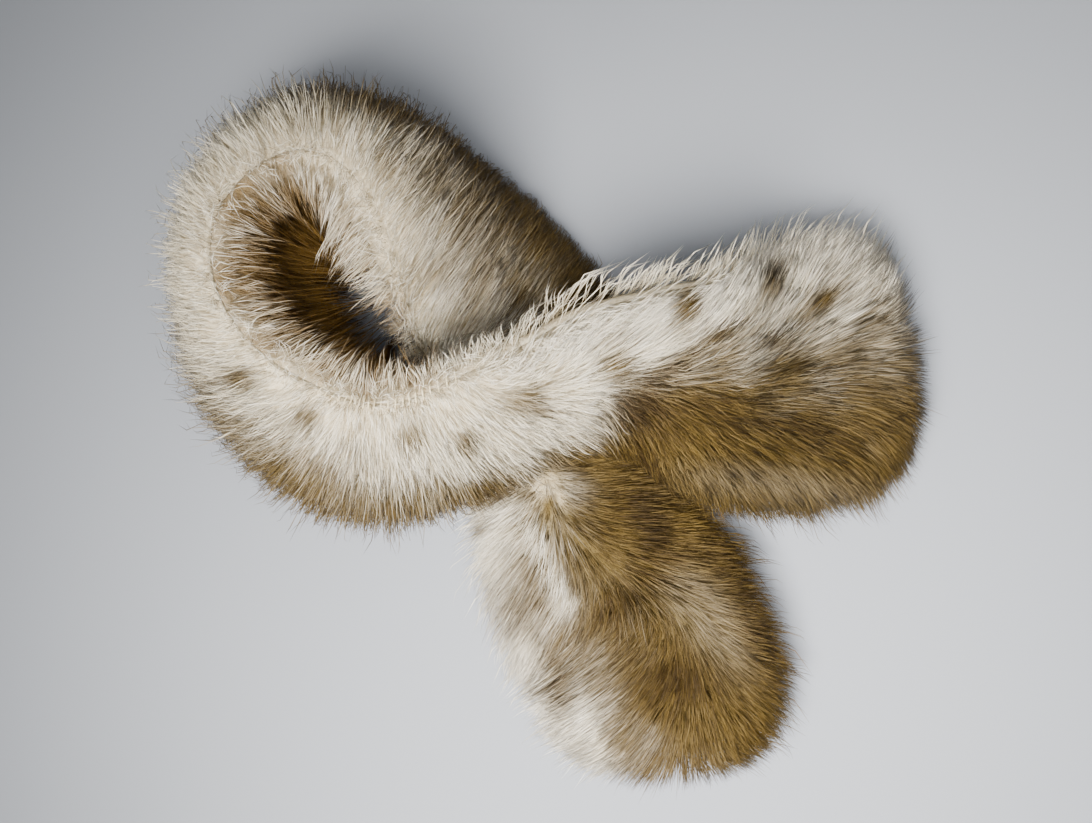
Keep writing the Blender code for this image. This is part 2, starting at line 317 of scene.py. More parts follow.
def sections():
    """Everything that a section is made from, once a half millimetre along the strip."""
    column = {name: spline(GRID, KNOTS, ROWS[:, k]) for k, name in enumerate(COLUMNS)}
    ahead, behind = np.clip(GRID + 0.5, 0, LENGTH), np.clip(GRID - 0.5, 0, LENGTH)
    run = np.stack([spline(ahead, KNOTS, ROWS[:, k]) - spline(behind, KNOTS, ROWS[:, k]) for k in (0, 1)])
    run /= np.linalg.norm(run, axis=0)
    lean = np.radians(column["lean"])
    found = {
        "x": column["x"], "y": column["y"], "run_x": run[0], "run_y": run[1],
        "across_x": np.cos(lean) * run[1], "across_y": -np.cos(lean) * run[0], "across_z": np.sin(lean),
        "out_x": -np.sin(lean) * run[1], "out_y": np.sin(lean) * run[0], "out_z": np.cos(lean),
        "floor": np.maximum(column["lift"], 0),
        "standing": np.clip((column["lean"] - 35) / 25, 0, 1),
        "half": STRIP_HALF_WIDTH * column["width"],
        "outer": column["outer"], "inner": column["inner"],
    }
    flat_half = found["half"][:, None]
    w, n = ring(flat_half, column["inner"][:, None], np.linspace(0, np.pi, 17)[None, :])
    near_seam = np.exp(-((n / PARTING_HALF_WIDTH) ** 2)) * np.abs(w / flat_half) ** 4
    depth = np.where(w > 0, PARTING_DEPTH["white"], PARTING_DEPTH["tan"])
    w = w - np.sign(w) * near_seam * depth * np.minimum(flat_half / STRIP_HALF_WIDTH, 1)
    reach = w * found["across_z"][:, None] - (n + SEAM_GAP / 2) * found["out_z"][:, None]
    found["rise"] = found["floor"] - SQUASH - reach.min(axis=1)
    return found


SECTIONS = sections()


def read(along, *names):
    """Section values at these distances along the strip."""
    return [np.interp(along, GRID, SECTIONS[name]) for name in names]


def valley(along, share):
    """How far the outer pile sinks in its soft troughs."""
    sink = np.zeros(np.broadcast(along, share).shape)
    for fold in VALLEYS:
        at = row_to_along(fold["row"]) + fold["slant"] * share
        sink = sink + fold["depth"] * np.exp(-(((along - at) / fold["length"]) ** 2))
    return sink


def outward_share(along, w):
    """How far out towards the pile's outline a place is: 0 in the middle, 1 on the outline, round the ends too."""
    half, = read(along, "half")
    into_end = np.clip(1 - np.minimum(along, LENGTH - along) / END_ROUND_ACROSS, 0, None)
    return (np.abs(w / half) ** END_SQUARENESS + into_end**END_SQUARENESS) ** (1 / END_SQUARENESS)


def swell(along, q, face):
    """How many times deeper the hair is than the solid's pile, at a share q of the way round it."""
    low, high = np.clip((0.6 - q) / 0.28, 0, 1), np.clip((q - 0.5) / 0.22, 0, 1)
    at_foot, at_crown = by_row(SWELL[face], "foot", along), by_row(SWELL[face], "crown", along)
    return 1 + (at_foot - 1) * low**2 * (3 - 2 * low) + (at_crown - 1) * high**2 * (3 - 2 * high)


def pile(along, q, face):
    """The pile's surface as (w, n) at a share q of the way round it, from the tan edge to the white one."""
    half, depth = read(along, "half", face)
    w, n = ring(half, 1.0, np.interp(q, AROUND_SHARE, AROUND_TURN))
    out = np.clip(outward_share(along, w), 0, 1)
    at_end = np.minimum(along, LENGTH - along) < END_ROUND_ACROSS
    height = np.where(at_end, (1 - out**ROUNDNESS) ** (1 / ROUNDNESS), n)
    if face == "outer":
        height = height * (1 - valley(along, w / STRIP_HALF_WIDTH) / depth)
    return w, depth * height * swell(along, q, face)


def place(along, w, n, face, clear=0.4):
    """Points on the strip in space, kept above what it lies on. Past the strip's ends they go straight on."""
    inside = np.clip(along, 0, LENGTH)
    x, y, rx, ry, ax, ay, az, ox, oy, oz, rise, floor = read(
        inside, "x", "y", "run_x", "run_y", "across_x", "across_y", "across_z", "out_x", "out_y", "out_z",
        "rise", "floor",
    )
    side = n if face == "outer" else -n
    side = side - by_row(LEAN_IN, "shift", inside) * np.clip(w / STRIP_HALF_WIDTH, 0, 1) ** 2
    past = along - inside
    z = w * az + side * oz + rise
    return np.stack(
        [x + w * ax + side * ox + past * rx, y + w * ay + side * oy + past * ry, np.maximum(z, floor + clear)], axis=-1
    )


def to_frame(points):
    """Millimetres from under the photo's middle to metres in the part's frame."""
    return (points + np.array([*PHOTO_MIDDLE, 0.0])) * MM


def in_photo(points):
    """Where the camera sees these points, in the photo's pixels."""
    larger = PHOTO_PIXELS[0] / FIELD_WIDTH * CAMERA_HEIGHT / (CAMERA_HEIGHT - points[..., 2])
    return PHOTO_PIXELS[0] / 2 + points[..., 0] * larger, PHOTO_PIXELS[1] / 2 - points[..., 1] * larger


def waves(along, across, long, seed):
    """Slow uneven noise from -1 to 1, as crossed sine waves of about this length."""
    source = np.random.default_rng(seed)
    total = 0.0
    for _ in range(5):
        angle, phase, size = source.uniform(0, np.pi), source.uniform(0, 2 * np.pi), long * source.uniform(0.7, 1.5)
        total = total + np.sin((along * np.cos(angle) + across * np.sin(angle)) * 2 * np.pi / size + phase)
    return total / 3


# The coat's colour


def coat(along, w, points, face, uneven):
    """How tan the hair is, and what share of it has dark tips: tan past the white line, and as the patches say. The
    patches' dark tips are partly real and partly painted shade.
    """
    half, = read(along, "half")
    share = w / half
    if face == "inner":
        turn = np.pi / 2 + np.sign(share) * np.arcsin(np.clip(np.abs(share), 0, 1) ** (ROUNDNESS / 2))
        share = 2 * np.interp(turn, AROUND_TURN, AROUND_SHARE) - 1
    past = (share - by_row(WHITE_LINE[face], "share", along)) / by_row(WHITE_LINE[face], "soft", along)
    tan = 1 / (1 + np.exp(past + 1.2 * uneven))
    dark_and_shade = tan * np.clip(0.12 + 0.16 * waves(along, w, 30, 31), 0, 1)
    px, py = in_photo(points)
    for x, y, long, wide, turn, more_tan, more_dark_and_shade in PATCHES[face]:
        c, s = np.cos(np.radians(turn)), np.sin(np.radians(turn))
        a = ((px - x) * c - (py - y) * s) / long
        b = ((px - x) * s + (py - y) * c) / wide
        near = np.exp(-((a**2 + b**2) ** 1.5))
        tan = tan + near * more_tan * (1 - tan if more_tan > 0 else tan)
        # Each patch adds dark tips: real dark-tipped hair, and painted shade in folds, creases and on sides turned
        # from the light
        dark_and_shade = dark_and_shade + near * (more_dark_and_shade - 0.2 * (more_tan < 0))
    if face == "inner":
        standing, = read(along, "standing")
        off = (share - by_row(DARK_BAND, "share", along)) / 0.17
        dark_and_shade = dark_and_shade * 0.6 + 0.5 * standing * np.exp(-(off**2))
    return np.clip(tan, 0, 1), np.clip(dark_and_shade, 0, 1)


# Meshes from arrays


def mesh_object(name, points, triangles, attributes, uv=None):
    """A mesh object at the origin, with point attributes and, where given, a map of its own."""
    mesh = bpy.data.meshes.new(name)
    mesh.vertices.add(len(points))
    mesh.vertices.foreach_set("co", to_frame(points).astype(np.float32).ravel())
    mesh.loops.add(triangles.size)
    mesh.loops.foreach_set("vertex_index", triangles.astype(np.int32).ravel())
    mesh.polygons.add(len(triangles))
    mesh.polygons.foreach_set("loop_start", np.arange(0, triangles.size, 3, dtype=np.int32))
    mesh.polygons.foreach_set("use_smooth", np.full(len(triangles), True))
    mesh.update(calc_edges=True)
    for key, values in attributes.items():
        layer = mesh.attributes.new(key, "FLOAT", "POINT")
        layer.data.foreach_set("value", np.asarray(values, np.float32).ravel())
    if uv is not None:
        layer = mesh.uv_layers.new(name="OFBake")
        layer.data.foreach_set("uv", uv[triangles.ravel()].astype(np.float32).ravel())
    thing = bpy.data.objects.new(name, mesh)
    bpy.context.scene.collection.objects.link(thing)
    return thing


def spindle_triangles(count, rings):
    """Triangles of closed spindles: a fan at the root, three-sided bands, and a fan at the tip."""
    one = [(0, 2 + (k + 1) % 3 - 1, 1 + k) for k in range(3)]
    for r in range(rings - 1):
        a, b = 1 + 3 * r, 4 + 3 * r
        for k in range(3):
            m = (k + 1) % 3
            one += [(a + k, a + m, b + m), (a + k, b + m, b + k)]
    last, tip = 1 + 3 * (rings - 1), 1 + 3 * rings
    one += [(last + k, last + (k + 1) % 3, tip) for k in range(3)]
    one = np.array(one)
    return (one[None] + (np.arange(count) * (tip + 1))[:, None, None]).reshape(-1, 3)


def spindles(line, thick, spin):
    """Points of closed spindles round these lines of points: thick is each ring's half thickness."""
    count, rows = line.shape[:2]
    rings = rows - 2
    tangent = line[:, 2:] - line[:, :-2]
    tangent /= np.linalg.norm(tangent, axis=-1, keepdims=True) + 1e-9
    side = np.cross(tangent, spin[:, None, :])
    side /= np.linalg.norm(side, axis=-1, keepdims=True) + 1e-9
    other = np.cross(tangent, side)
    turn = (np.arange(3) * 2 * np.pi / 3)[None, None, :, None]
    round_it = np.cos(turn) * side[:, :, None, :] + np.sin(turn) * other[:, :, None, :]
    around = line[:, 1:-1, None, :] + thick[:, :, None, None] * round_it
    return np.concatenate([line[:, :1], around.reshape(count, rings * 3, 3), line[:, -1:]], axis=1)


# Pelts: the leather with its underfur

# The underfur's height as a share of the pile's, how far apart a pelt's rings lie, and how many points each has
# over its fur and along its flat side
WOOL_HEIGHT = {"outer": 0.72, "inner": 0.62}
RING_SPACING = 4.0
POINTS_OVER_FUR = 41
POINTS_ON_BACK = 10


def edges(along):
    """Where a pelt ends at the white and at the tan edge."""
    half, = read(along, "half")
    shrink = half / STRIP_HALF_WIDTH
    return half - by_row(MARGINS, "white", along) * shrink, half - by_row(MARGINS, "tan", along) * shrink


def wool(along, q, face):
    """The underfur's surface as (w, n): a squarish half ellipse over the leather, with slow lumps."""
    white, tan = edges(along)
    depth, = read(along, face)
    ends = rounding(np.minimum(along, LENGTH - along) - END_MARGIN + 0.5, END_ROUND_ACROSS - END_MARGIN)
    w, n = ring((white + tan) / 2 * ends, WOOL_HEIGHT[face] * depth * ends, np.interp(q, AROUND_SHARE, AROUND_TURN))
    w = w + (white - tan) / 2 * ends
    n = n * (1 + 0.12 * waves(along, w, 26, 3) + 0.05 * waves(along, w, 9, 4)) * swell(along, q, face) ** 0.8
    if face == "outer":
        n = n * (1 - 0.8 * valley(along, w / STRIP_HALF_WIDTH) / depth)
    return w, n


def pelt(name, first, last, face):
    """A pelt with the underfur in which no single hair shows, as a closed shell with its flat side sewn on."""
    start = END_MARGIN if first == 0 else row_to_along(first) + SEAM_GAP / 2
    stop = LENGTH - END_MARGIN if last == len(ROWS) - 1 else row_to_along(last) - SEAM_GAP / 2
    along = np.linspace(start, stop, int((stop - start) / RING_SPACING))[:, None]
    w, n = wool(along, np.linspace(0, 1, POINTS_OVER_FUR)[None, :], face)
    back = np.linspace(0, 1, POINTS_ON_BACK)[None, 1:-1]
    back_w = w[:, -1:] + (w[:, :1] - w[:, -1:]) * back
    w = np.concatenate([w, back_w], axis=1)
    n = np.concatenate([n, np.zeros(back_w.shape)], axis=1) + SEAM_GAP / 2
    along = np.broadcast_to(along, w.shape)
    points = place(along, w, n, face)
    rings, around = w.shape
    i, j = np.meshgrid(np.arange(rings - 1), np.arange(around), indexing="ij")
    a, b = i * around + j, i * around + (j + 1) % around
    quads = np.stack([a, b, b + around, a + around], axis=-1).reshape(-1, 4)
    caps = []
    for base, order in ((0, (0, 2, 1)), ((rings - 1) * around, (0, 1, 2))):
        fan = np.stack([np.zeros(around - 2, int), np.arange(1, around - 1), np.arange(2, around)], axis=1) + base
        caps.append(fan[:, order])
    triangles = np.concatenate([quads[:, [0, 1, 2]], quads[:, [0, 2, 3]], *caps])
    if face == "inner":
        triangles = triangles[:, ::-1]
    tan_share, dark_and_shade = coat(along, w, points, face, waves(along, w, 22, 8))
    return mesh_object(name, points.reshape(-1, 3), triangles, {"tan": tan_share, "dark_and_shade": dark_and_shade})


# Hair

# How unevenly the locks lie: the spread of their turn away from the comb's way, in radians
RUFFLE = {"outer": 0.07, "inner": 0.2}

# The longest that a hair may be, low on the strip and near its crown
LONGEST_HAIR = {"outer": (37.0, 37.0), "inner": (75.0, 40.0)}

# What share of the hairs stray from their lock, and how far at most the tips of the others draw together
STRAYS = 0.13
DRAWN_TOGETHER = 0.28

# Round the hollow the hair at the seam lies lower, by row
SEAM_DIP = {"row": (10.8, 12.5), "depth": (5.0, 17.0)}


def comb(along, q, face, source):
    """Which way the hair lies at a place: how far a tip is along the strip and round the pile from its root."""
    table = COMB[face]
    half, = read(along, "half")
    w, _ = ring(half, 1.0, np.interp(q, AROUND_SHARE, AROUND_TURN))
    side = np.tanh((w / half - by_row(table, "divide", along)) / by_row(table, "soft", along))
    across = np.where(side > 0, by_row(table, "to_white", along), by_row(table, "to_tan", along))
    ahead = by_row(table, "along", along)
    fan = by_row(table, "fan", along) * np.where(side > 0, 0.3, 1)
    step, run = ahead * (1 - fan * np.abs(side) ** 4.5), across * side
    keep = np.hypot(ahead, across) / np.maximum(np.hypot(step, run), 4.0)
    upright = np.where(by_row(table, "divide", along) > 1, np.clip((1 - q) / 0.04, 0.4, 1), 1)
    step, run = step * keep * upright, run * keep * upright
    swirl = 0.08 * waves(along, w, 60, 21) + 0.09 * waves(along, w, 17, 22)
    swirl = swirl + source.normal(0, RUFFLE[face], along.shape)
    return step * np.cos(swirl) - run * np.sin(swirl), step * np.sin(swirl) + run * np.cos(swirl)


def hair(name, first, last, face, at_seam, band, locks, per_lock, rows, lengthen, rise, thickness):
    """The hair of one stretch, in locks whose tips are drawn together.

    Roots lie in the underfur and tips on the pile's surface, moved along and round it as the comb says. A tip
    that would lie outside the wrap's outline is drawn back to it. Each hair bulges outwards on its way. At the
    seam the locks lean every way instead.
    """
    source = np.random.default_rng([ord(c) for c in name])
    start = END_MARGIN + 1 if first == 0 else row_to_along(first)
    stop = LENGTH - END_MARGIN - 1 if last == len(ROWS) - 1 else row_to_along(last)
    width = AROUND_LENGTH * (band[1] - band[0])
    across_count = max(int(np.sqrt(locks * width / (stop - start))), 2)
    along_count = int(locks / across_count)
    i, j = np.meshgrid(np.arange(along_count), np.arange(across_count), indexing="ij")
    jitter = source.uniform(-0.5, 0.5, (2, i.size))
    lock_along = start + (stop - start) * (i.ravel() + 0.5 + jitter[0]) / along_count
    lock_q = band[0] + (band[1] - band[0]) * (j.ravel() + 0.5 + jitter[1]) / across_count
    cell = (stop - start) / along_count

    step, run = comb(lock_along, lock_q, face, source)
    if at_seam:
        step, run = source.normal(0, 6, (2, step.size)) * np.array([[1.0], [0.6]])
    lock_round = lock_q * AROUND_LENGTH
    long = lengthen * (1 + 0.1 * waves(lock_along, lock_round, 14, 23) + source.normal(0, 0.1, step.shape))
    lock_rise = rise * (1 + 0.06 * waves(lock_along, lock_round, 19, 24) + source.normal(0, 0.05, step.shape))
    lock_draw = source.uniform(0.0, DRAWN_TOGETHER, step.shape)

    of = np.repeat(np.arange(lock_along.size), per_lock)
    off = source.normal(0, 0.42, (2, of.size)) * cell
    own = source.normal(0, 0.9, (2, of.size))
    stray = source.random(of.size) < STRAYS
    along = np.clip(lock_along[of] + off[0], start - 0.5, stop + 0.5)
    q = np.clip(lock_q[of] + off[1] / AROUND_LENGTH, 0.0, 1.0)
    root_w, root_n = wool(along, q, face)
    root_out = outward_share(along, root_w)
    own = own * (1 + 1.3 * np.clip(root_out * 1.3, 0, 1) ** 3)
    draw = np.where(stray, 0.0, lock_draw[of]) * (1 - 0.8 * np.clip(root_out * 1.3, 0, 1) ** 3)
    standing, = read(along, "standing")
    stretch = np.where(stray, 1.2, 1.0) * source.uniform(0.82, 1.12, of.size) * long[of]
    tip_along = along + step[of] * stretch - off[0] * draw + own[0]
    free_q = q + (run[of] * stretch - off[1] * draw + own[1]) / AROUND_LENGTH
    tip_q = np.clip(free_q, 0, 1)
    tip_w, _ = pile(np.clip(tip_along, 30, LENGTH - 30), tip_q, face)
    tip_w = tip_w + 0.5 * (free_q - tip_q) * AROUND_LENGTH
    tip_out = outward_share(tip_along, tip_w)
    edge = np.where(tip_w > 0, by_row(REACH, "white", tip_along), by_row(REACH, "tan", tip_along))
    past_edge = source.uniform(0.02, 0.17, of.size) * (1 - 0.7 * standing)
    most = edge + source.uniform(-0.12, 0.06, of.size) + np.where(stray, past_edge, 0)
    keep = np.where(tip_out > most, np.clip((most - root_out) / np.maximum(tip_out - root_out, 1e-3), 0.3, 1), 1)
    tip_along, tip_w = along + (tip_along - along) * keep, root_w + (tip_w - root_w) * keep
    depth, = read(tip_along, face)
    out = np.clip(outward_share(tip_along, tip_w), 0, 1)
    tip_n = depth * (1 - out**ROUNDNESS) ** (1 / ROUNDNESS) * swell(tip_along, tip_q, face)
    if face == "outer":
        tip_n = tip_n * (1 - valley(tip_along, tip_w / STRIP_HALF_WIDTH) / depth)
    scale = lock_rise[of] * source.uniform(0.9 - 0.25 * standing, 1.08)
    scale = scale + np.where(stray, source.uniform(0, 0.28 + 0.22 * standing), 0)
    tip_w = tip_w * (1 + (np.minimum(scale, 1.05) - 1) * 0.6 * out**2)
    tip_n = tip_n * scale + 0.4 + SEAM_GAP / 2
    if at_seam:
        tip_n = tip_n - source.uniform(0, 1, of.size) * by_row(SEAM_DIP, "depth", along)

    u = np.array([0.0, 0.36, 0.72, 1.0] if rows == 4 else [0.0, 0.55, 1.0])
    half, = read(along, "half")
    mean_w, mean_n = (root_w + tip_w) / 2, (root_n + tip_n) / 2
    steep = ROUNDNESS - 1
    normal_w = np.sign(mean_w) * np.abs(mean_w / half) ** steep / half
    normal = np.stack([normal_w, np.abs(mean_n / depth) ** steep / depth])
    normal /= np.linalg.norm(normal, axis=0) + 1e-9
    size = np.sqrt((tip_along - along) ** 2 + (tip_w - root_w) ** 2 + (tip_n - root_n) ** 2)
    shorten = np.minimum(1, np.interp(q, (0.35, 0.8), LONGEST_HAIR[face]) / size)
    tip_along = along + (tip_along - along) * shorten
    tip_w = root_w + (tip_w - root_w) * shorten
    tip_n = root_n + (tip_n - root_n) * shorten
    bulge = 4 * u * (1 - u) * (0.17 * size * source.uniform(0.5, 1.3, of.size))[:, None]
    line_along = along[:, None] + (tip_along - along)[:, None] * u
    line_w = root_w[:, None] + (tip_w - root_w)[:, None] * u + bulge * normal[0][:, None]
    line_n = root_n[:, None] * 0.85 + (tip_n - root_n * 0.85)[:, None] * u + bulge * normal[1][:, None]
    line = place(line_along, line_w, line_n, face)
    rings = rows - 2
    thick = thickness * source.uniform(0.75, 1.2, of.size)[:, None] * np.array([1.0, 0.75])[None, :rings]
    points = spindles(line, thick, source.normal(0, 1, (of.size, 3)))

    uneven = waves(along, root_w, 22, 8) + np.clip(source.normal(0, 0.5, of.size), -0.9, 0.9)
    for line_part in (line_along, line_w, line):
        line_part[:, -2:] = line_part[:, -2:].mean(axis=1, keepdims=True)
    # Dark tips here are partly real and partly painted shade, as the patches give them
    tan_share, dark_and_shade_share = coat(line_along, line_w, line, face, uneven[:, None])
    odds = source.random((of.size, 1))
    strength = source.uniform(0.5, 0.95, (of.size, 1))
    dark_and_shade = strength * np.clip((dark_and_shade_share - odds) / 0.12 + 0.5, 0, 1) * (dark_and_shade_share > 0.03) + 0.2 * dark_and_shade_share
    shade = source.normal(0.55, 0.2, of.size) + 0.14 * waves(lock_along, lock_round, 8, 25)[of]
    per = points.shape[1]
    on_ring = np.concatenate([[0], np.repeat(np.arange(1, rows - 1), 3), [rows - 1]])
    reach = u[on_ring]
    attributes = {
        "tan": tan_share[:, on_ring],
        "dark_and_shade": dark_and_shade[:, on_ring],
        "shade": np.repeat(np.clip(shade, 0, 1), per),
        "reach": np.tile(reach, of.size),
    }
    columns = int(np.ceil(np.sqrt(of.size)))
    cell = np.stack([np.arange(of.size) % columns, np.arange(of.size) // columns], axis=1)
    place_in_cell = np.stack(
        [np.concatenate([[0.5], np.tile([0.15, 0.5, 0.85], rings), [0.5]]), 0.1 + 0.8 * reach], axis=1
    )
    uv = ((cell[:, None, :] + place_in_cell[None]) / columns).reshape(-1, 2)
    return mesh_object(name, points.reshape(-1, 3), spindle_triangles(of.size, rings), attributes, uv)


# The seam's thread

# The overcast stitches, in millimetres: how far apart they are, how far one leans along the seam, how wide it
# reaches across it, how far in from the leather's edge it starts, how high it stands, and half its thickness
STITCH = {"apart": 3.4, "leans": 2.4, "wide": 7.0, "inset": 0.6, "high": 2.2, "thick": 0.42}


def seam_thread(first, last):
    """Overcast stitches where the hair parts at the crown, each a half sine wave over the two leathers' edges."""
    count = int((row_to_along(last) - row_to_along(first)) / STITCH["apart"])
    along = np.linspace(row_to_along(first), row_to_along(last), count)
    t = np.linspace(0, 1, 7)[None, :]
    white, _ = edges(along)
    line_along = along[:, None] + STITCH["leans"] * (t - 0.5)
    line_w = white[:, None] - STITCH["inset"] + STITCH["high"] * np.sin(np.pi * t)
    line = place(line_along, line_w, STITCH["wide"] * (t - 0.5), "outer")
    points = spindles(line, np.full((count, 5), STITCH["thick"]), np.tile([0.3, 0.2, 0.9], (count, 1)))
    thing = mesh_object("seam_thread", points.reshape(-1, 3), spindle_triangles(count, 5), {})
    thing.data.materials.append(sewing_thread())
    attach(thing, "root")
    return thing


# Materials

# Hair colours from root to tip, as (share of the way, sRGB), and how tones differ from hair to hair
WHITE_HAIR = ((0.0, "#E8D9B5"), (0.4, "#F5ECD6"), (1.0, "#FAF8F2"))
TAN_HAIR = {
    "outer": ((0.0, "#806B3D"), (0.4, "#6C582B"), (0.8, "#5D4A1E"), (1.0, "#4B3A18")),
    # Inside, the tan is lighter and more golden: the extra lightness is painted light, for the light that the loop's
    # hollow lacks
    "inner": ((0.0, "#9E7D46"), (0.4, "#8C6C35"), (0.8, "#785A28"), (1.0, "#60461C")),
}
# Dark tips: real ones, and painted shade where the patches darken folds, creases and shadowed sides
DARK_TIPS_AND_SHADE = ((0.0, "#7C6539"), (0.4, "#46351A"), (1.0, "#1E160C"))
HAIR_TONES = ((0.0, "#BDB6A9"), (0.5, "#F6F4EF"), (1.0, "#FFFFFF"))

# The underfur's colours, the painted shade in its tufts' dips, and how many of its tufts go on a metre: one about
# every 2.4 mm
WHITE_WOOL = "#F0E5CB"
# The inner underfur is lighter too: painted light in the loop's hollow
TAN_WOOL = {"outer": "#7E6B3C", "inner": "#8C7040"}
# Dark underfur under dark tips, partly painted shade as the patches give it
DARK_AND_SHADED_WOOL = "#35270F"
WOOL_DIP_SHADE = ((0.3, "#CFC6B4"), (0.7, "#FFFFFF"))
TUFTS_PER_METRE = 420.0

# The thread's colours, darker in the grooves of its twist and paler on its ridges as painted shade and highlight; this
# scale sets the ridges about 0.35 mm apart
THREAD_TWIST_SHADING = ((0.0, "#C9B98F"), (1.0, "#EFE3C2"))
TWIST_SCALE = 900.0


def srgb(colour):
    """A hex colour as linear red, green, blue and 1."""
    parts = np.array([int(colour[k : k + 2], 16) for k in (1, 3, 5)]) / 255
    linear = np.where(parts <= 0.04045, parts / 12.92, ((parts + 0.055) / 1.055) ** 2.4)
    return (*linear.tolist(), 1.0)


def add_node(tree, kind, inputs=None, **settings):
    """A node with its settings and inputs, where an input is a value or another node's socket."""
    node = tree.nodes.new(kind)
    for key, value in settings.items():
        setattr(node, key, value)
    for key, value in (inputs or {}).items():
        if isinstance(value, bpy.types.NodeSocket):
            tree.links.new(value, node.inputs[key])
        else:
            node.inputs[key].default_value = value
    return node


def mix_colour(tree, share, a, b, how="MIX"):
    """Two colours mixed by a share."""
    node = add_node(tree, "ShaderNodeMix", data_type="RGBA", blend_type=how)
    for socket, value in ((node.inputs[0], share), (node.inputs[6], a), (node.inputs[7], b)):
        if isinstance(value, bpy.types.NodeSocket):
            tree.links.new(value, socket)
        else:
            socket.default_value = value
    return node.outputs[2]


def ramp(tree, value, stops):
    """A colour ramp over these (place, hex colour) stops."""
    node = add_node(tree, "ShaderNodeValToRGB", {"Fac": value})
    elements = node.color_ramp.elements
    while len(elements) < len(stops):
        elements.new(0.5)
    for element, (at, colour) in zip(elements, stops):
        element.position = at
        element.color = srgb(colour)
    return node.outputs["Color"]


def attribute(tree, name):
    """A point attribute as a number."""
    return add_node(tree, "ShaderNodeAttribute", attribute_name=name).outputs["Fac"]


def guard_hair(name, tan_stops):
    """Long combed guard hair: white to cream on the belly, golden to brown on the back, with darker tips. The dark
    tips also serve as painted shade where the patches darken folds, creases and shadowed sides.

    One hair is smooth and glossy, but thousands that lie side by side scatter the light to a soft satin sheen.
    """
    material = bpy.data.materials.new(name)
    material.use_nodes = True
    tree = material.node_tree
    shader = tree.nodes["Principled BSDF"]
    tan, dark_and_shade, shade, reach = (attribute(tree, key) for key in ("tan", "dark_and_shade", "shade", "reach"))
    white_hair = ramp(tree, reach, WHITE_HAIR)
    tan_hair = ramp(tree, reach, tan_stops)
    colour = mix_colour(tree, tan, white_hair, tan_hair)
    dark_and_shaded_hair = ramp(tree, reach, DARK_TIPS_AND_SHADE)
    colour = mix_colour(tree, dark_and_shade, colour, dark_and_shaded_hair)
    tone = ramp(tree, shade, HAIR_TONES)
    colour = mix_colour(tree, 1.0, colour, tone, "MULTIPLY")
    tree.links.new(colour, shader.inputs["Base Color"])
    shader.inputs["Roughness"].default_value = 0.6
    shader.inputs["Specular IOR Level"].default_value = 0.2
    return material


def underfur(name, tan_colour):
    """Dense crimped wool under the hair. It has no sheen, and its tufts are too small for the mesh: they are bump. The
    dips between the tufts are painted darker as shade, and where the patches paint shade on the hair the wool is
    darkened too.
    """
    material = bpy.data.materials.new(name)
    material.use_nodes = True
    tree = material.node_tree
    shader = tree.nodes["Principled BSDF"]
    tan, dark_and_shade = attribute(tree, "tan"), attribute(tree, "dark_and_shade")
    where = add_node(tree, "ShaderNodeTexCoord").outputs["Object"]
    size = {"Vector": where, "Scale": TUFTS_PER_METRE, "Detail": 5.0, "Roughness": 0.7}
    tufts = add_node(tree, "ShaderNodeTexNoise", size)
    colour = mix_colour(tree, tan, srgb(WHITE_WOOL), srgb(tan_colour))
    colour = mix_colour(tree, dark_and_shade, colour, srgb(DARK_AND_SHADED_WOOL))
    # Painted shade: the tufts' colour darkens where their bump sinks
    tone = ramp(tree, tufts.outputs["Fac"], WOOL_DIP_SHADE)
    colour = mix_colour(tree, 1.0, colour, tone, "MULTIPLY")
    tree.links.new(colour, shader.inputs["Base Color"])
    bump = add_node(tree, "ShaderNodeBump", {"Height": tufts.outputs["Fac"], "Strength": 0.8, "Distance": 0.002})
    tree.links.new(bump.outputs["Normal"], shader.inputs["Normal"])
    shader.inputs["Roughness"].default_value = 0.95
    shader.inputs["Specular IOR Level"].default_value = 0.1
    return material


def sewing_thread():
    """Spun polyester thread, twisted from plies: matt and slightly hairy, with its twist as fine pale ridges of
    painted highlight between darker grooves of painted shade.
    """
    material = bpy.data.materials.new("sewing thread")
    material.use_nodes = True
    tree = material.node_tree
    shader = tree.nodes["Principled BSDF"]
    where = add_node(tree, "ShaderNodeTexCoord").outputs["Object"]
    twist_shading = add_node(tree, "ShaderNodeTexWave", {"Vector": where, "Scale": TWIST_SCALE, "Distortion": 1.0})
    colour = ramp(tree, twist_shading.outputs["Fac"], THREAD_TWIST_SHADING)
    tree.links.new(colour, shader.inputs["Base Color"])
    shader.inputs["Roughness"].default_value = 0.7
    return material


def paper_floor():
    """A painted board, rolled smooth: plain matt pale grey without a sheen."""
    material = bpy.data.materials.new("pale floor")
    material.use_nodes = True
    shader = material.node_tree.nodes["Principled BSDF"]
    shader.inputs["Base Color"].default_value = srgb("#90949B")
    shader.inputs["Roughness"].default_value = 0.9
    shader.inputs["Specular IOR Level"].default_value = 0.1
    return material


# Camera, light and floor

# Each soft light: its place and what it is turned to, in millimetres from the photo's middle, its size in
# millimetres, its spread in degrees, its watts and its colour
LIGHTS = {
    "window": ((-140, -310, 760), (130, -145, 0), 420, 67, 5.8, "#FFFBF5"),
    "low window": ((-420, -330, 330), (-90, 40, 110), 260, 60, 0.1, "#FFFDFA"),
    "room": ((110, -150, 1200), (90, -140, 0), 750, 98, 3.0, "#FFFFFF"),
}
ROOM_LIGHT = ("#E8E6E2", 0.3)

# In metres
FLOOR_REACH = 3.0
FLOOR_DROP = 0.0004


